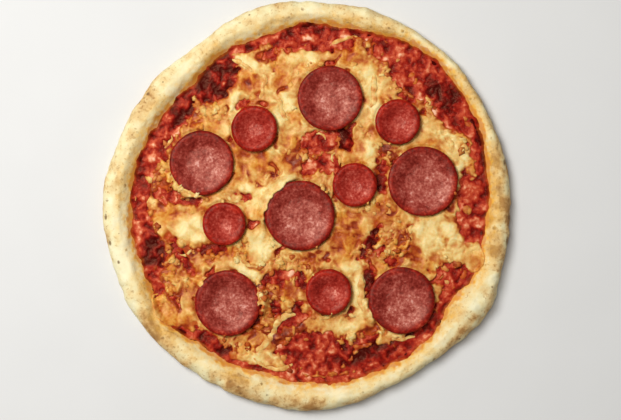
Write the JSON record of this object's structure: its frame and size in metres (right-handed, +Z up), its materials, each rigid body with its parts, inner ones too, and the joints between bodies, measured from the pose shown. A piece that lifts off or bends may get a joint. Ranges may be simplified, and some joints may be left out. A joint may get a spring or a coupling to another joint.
{
  "type": "pizza",
  "caption": "Round baked pizza with a rolled dough rim, tomato sauce, melted cheese and large and small cured sausage slices.",
  "frame": {"origin": "middle of the round outline, on the flat underside", "axes": "+Z up through the toppings, +Y to the side that is uppermost in the picture, +X to its right"},
  "size_m": [0.2992, 0.3002, 0.0159],
  "materials": {
    "dough": "matte baked wheat dough, pale gold with brown speckles",
    "sauce": "moist cooked tomato, dark where it has baked on",
    "cheese": "oily melted cheese, cream to golden brown",
    "salami": "greasy cut face with fine grains of fat",
    "pepperoni": "greasy, brighter red cut face"
  },
  "bodies": {
    "root": {"crust": "dough", "tomato_sauce": "sauce", "melted_cheese": "cheese", "salami_slice_1": "salami", "salami_slice_2": "salami", "salami_slice_3": "salami", "salami_slice_4": "salami", "salami_slice_5": "salami", "salami_slice_6": "salami", "pepperoni_slice_1": "pepperoni", "pepperoni_slice_2": "pepperoni", "pepperoni_slice_3": "pepperoni", "pepperoni_slice_4": "pepperoni", "pepperoni_slice_5": "pepperoni"}
  },
  "joints": []
}
